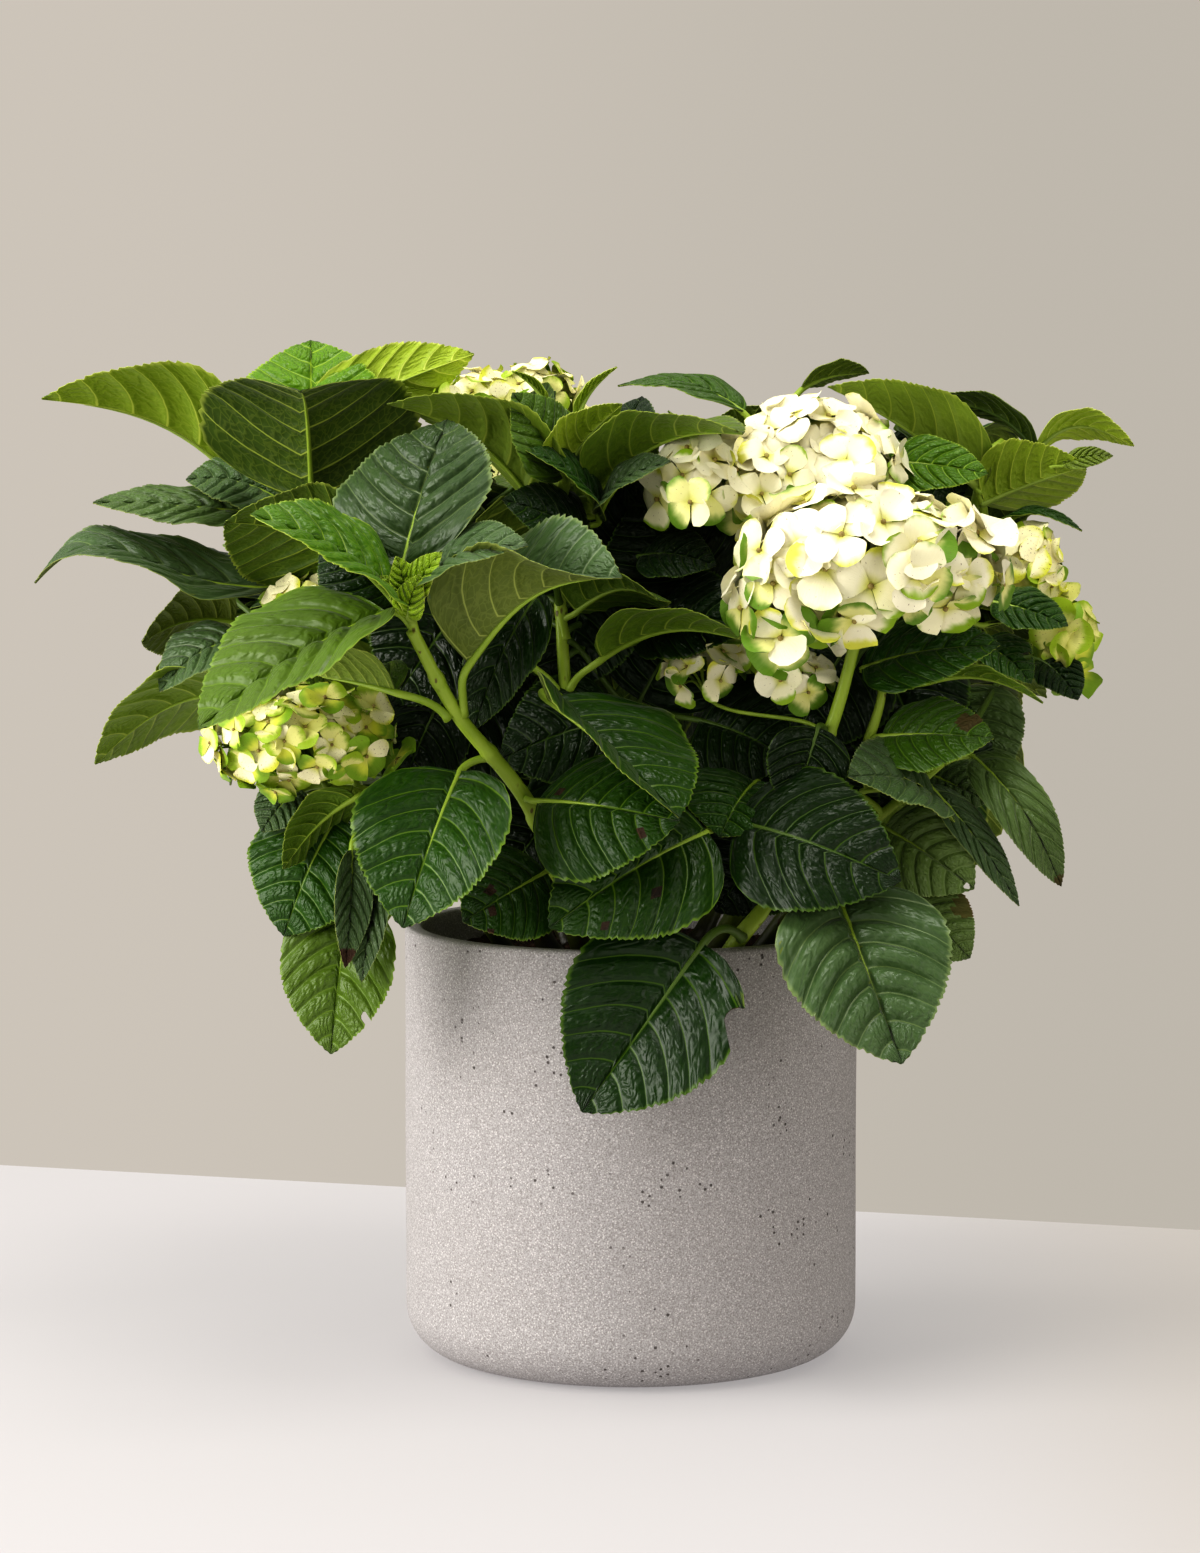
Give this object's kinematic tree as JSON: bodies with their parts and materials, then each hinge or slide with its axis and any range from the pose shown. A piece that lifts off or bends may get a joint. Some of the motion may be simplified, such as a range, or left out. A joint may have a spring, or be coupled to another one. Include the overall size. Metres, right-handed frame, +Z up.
{
  "type": "potted hydrangea",
  "caption": "Leafy mophead hydrangea in a straight-sided round planter: green canes, masses of broad toothed leaves and domed cream and lime flower heads.",
  "frame": {"origin": "centre of the planter's flat underside, on the ground", "axes": "+Z up, +X to the viewer's right, the front of the plant towards -Y"},
  "size_m": [0.732, 0.5636, 0.6686],
  "materials": {
    "planter_mineral": "matte",
    "potting_soil": "matte",
    "green_cane": "satin",
    "leaf": "satin",
    "flower": "matte"
  },
  "bodies": {
    "root": {"planter": "planter_mineral", "soil": "potting_soil", "cane_front_left": "green_cane", "cane_middle": "green_cane", "cane_left": "green_cane", "cane_right_front": "green_cane", "cane_right": "green_cane", "cane_right_low": "green_cane", "cane_left_low": "green_cane", "cane_back_left": "green_cane", "cane_back_right": "green_cane", "cane_back": "green_cane", "bloom_right_front": "flower", "bloom_right_top": "flower", "bloom_left_low": "flower", "bloom_left_inner": "flower", "bloom_top_back": "flower", "bloom_middle_low": "flower", "bloom_right_edge": "flower", "bloom_back": "flower", "bloom_back_right": "flower", "leaves_left_crown": "leaf", "leaves_left_edge": "leaf", "leaves_front_left": "leaf", "leaves_top_centre": "leaf", "leaves_middle": "leaf", "leaves_low_left": "leaf", "leaves_low_front": "leaf", "leaves_over_rim": "leaf", "leaves_low_right": "leaf", "leaves_right_edge": "leaf", "leaves_right_crown": "leaf", "leaves_back_centre": "leaf", "leaves_back_left": "leaf", "leaves_back_right": "leaf", "leaves_back_low": "leaf"}
  },
  "joints": []
}
